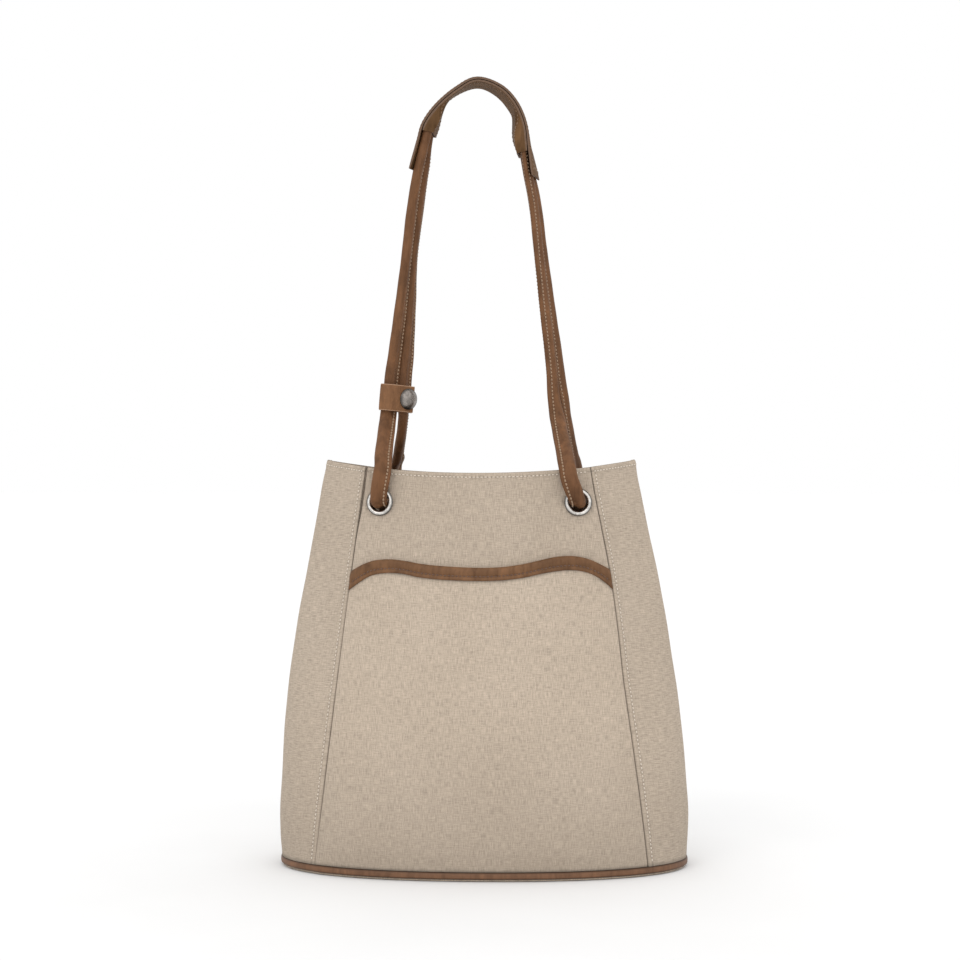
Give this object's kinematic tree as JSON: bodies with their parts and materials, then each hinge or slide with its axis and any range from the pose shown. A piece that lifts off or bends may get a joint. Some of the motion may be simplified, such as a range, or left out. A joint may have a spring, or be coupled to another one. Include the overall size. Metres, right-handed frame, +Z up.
{
  "type": "bucket bag",
  "caption": "Canvas and leather bucket bag: oval base, curved-top front pocket, cord strap through eyelets, padded handle, sliding snap keeper.",
  "frame": {"origin": "on the floor under the middle of the base", "axes": "+Z up, -Y the front with the pocket, +X to the right seen from the front"},
  "size_m": [0.2886, 0.1518, 0.555],
  "materials": {
    "canvas": "plain-woven beige canvas, matte",
    "lining_cloth": "light twill lining, matte",
    "strap_leather": "brown leather, low sheen",
    "binding_leather": "soft brown leather, low sheen",
    "stiffener_board": "grey-brown board",
    "antique_metal": "dark antique nickel"
  },
  "bodies": {
    "root": {"base_panel": "canvas", "base_board": "stiffener_board", "lining_base": "lining_cloth", "base_piping": "strap_leather", "front_panel": "canvas", "back_panel": "canvas", "left_gusset": "canvas", "right_gusset": "canvas", "facing_front": "canvas", "facing_back": "canvas", "facing_left": "canvas", "facing_right": "canvas", "lining_front": "lining_cloth", "lining_back": "lining_cloth", "lining_left": "lining_cloth", "lining_right": "lining_cloth", "inner_slip_pocket": "lining_cloth", "front_pocket": "canvas", "pocket_binding": "binding_leather", "eyelet_front_left": "antique_metal", "eyelet_front_right": "antique_metal", "eyelet_back_left": "antique_metal", "eyelet_back_right": "antique_metal", "eyelet_washer_front_left": "antique_metal", "eyelet_washer_front_right": "antique_metal", "eyelet_washer_back_left": "antique_metal", "eyelet_washer_back_right": "antique_metal", "magnet_snap_cup": "antique_metal", "magnet_snap_stud": "antique_metal", "left_cord_loop": "strap_leather", "right_cord_loop": "strap_leather", "cord_bend_front_left": "strap_leather", "cord_bend_back_left": "strap_leather", "cord_bend_front_right": "strap_leather", "cord_bend_back_right": "strap_leather"},
    "strap": {"strap_cord_front_left": "strap_leather", "strap_cord_back_left": "strap_leather", "strap_cord_front_right": "strap_leather", "strap_cord_back_right": "strap_leather", "shoulder_pad_outer": "strap_leather", "shoulder_pad_inner": "strap_leather"},
    "keeper": {"keeper_band": "strap_leather", "snap_stud": "antique_metal"},
    "keeper_flap": {"keeper_flap": "strap_leather", "snap_cap": "antique_metal", "snap_socket": "antique_metal"}
  },
  "joints": [
    {"name": "strap_fold", "type": "hinge", "parent": "root", "child": "strap", "pos_m": [0, 0, 0.308], "axis": [1, 0, 0], "range_deg": [-78, 78], "deforming": ["cord_bend_front_left", "cord_bend_back_left", "cord_bend_front_right", "cord_bend_back_right"]},
    {"name": "keeper_slide", "type": "slide", "parent": "strap", "child": "keeper", "axis": [0.0837, 0, 0.9965], "range_m": [0, 0.065]},
    {"name": "keeper_snap_open", "type": "hinge", "parent": "keeper", "child": "keeper_flap", "pos_m": [-0.07256, -0.01095, 0.33023], "axis": [-0.0837, 0, -0.9965], "range_deg": [0, 60]}
  ]
}
